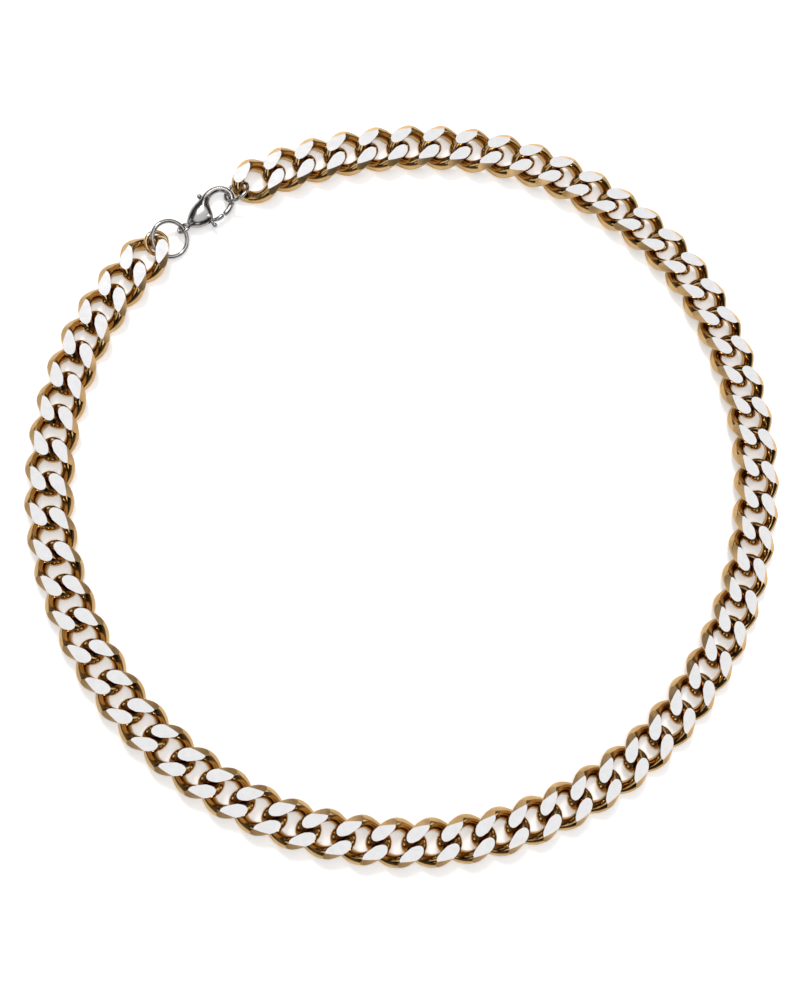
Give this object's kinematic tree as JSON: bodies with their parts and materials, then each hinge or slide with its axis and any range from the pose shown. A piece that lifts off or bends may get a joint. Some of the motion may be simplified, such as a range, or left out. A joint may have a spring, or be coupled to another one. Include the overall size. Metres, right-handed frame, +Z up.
{
  "type": "curb chain necklace",
  "caption": "Closed flat curb chain necklace with ground oval links, jump rings and a lobster clasp, lying on a surface.",
  "frame": {"origin": "on the surface the necklace lies on, under the middle of the loop", "axes": "+Z up from the surface; the clasp lies at the -X +Y side; each link runs along the loop"},
  "size_m": [0.1674, 0.1666, 0.0046],
  "materials": {
    "gold_links": "polished gold plating with bright ground faces",
    "gold_ring": "polished gold plating",
    "steel_rings": "polished",
    "steel_clasp": "polished casting"
  },
  "bodies": {
    "necklace": {"curb_links_right": "gold_links", "curb_links_left": "gold_links", "jump_ring": "steel_rings", "small_ring": "steel_rings", "gold_ring": "gold_ring", "clasp_body": "steel_clasp", "pivot_pin": "steel_clasp"},
    "lever": {"clasp_lever": "steel_clasp"}
  },
  "joints": [
    {"name": "lever_hinge", "type": "hinge", "parent": "necklace", "child": "lever", "pos_m": [-0.04691, 0.05815, 0.0017], "axis": [0, 0, 1], "range_deg": [0, 24], "stiffness_Nm_per_rad": 0.004, "springref_deg": -17.19}
  ]
}
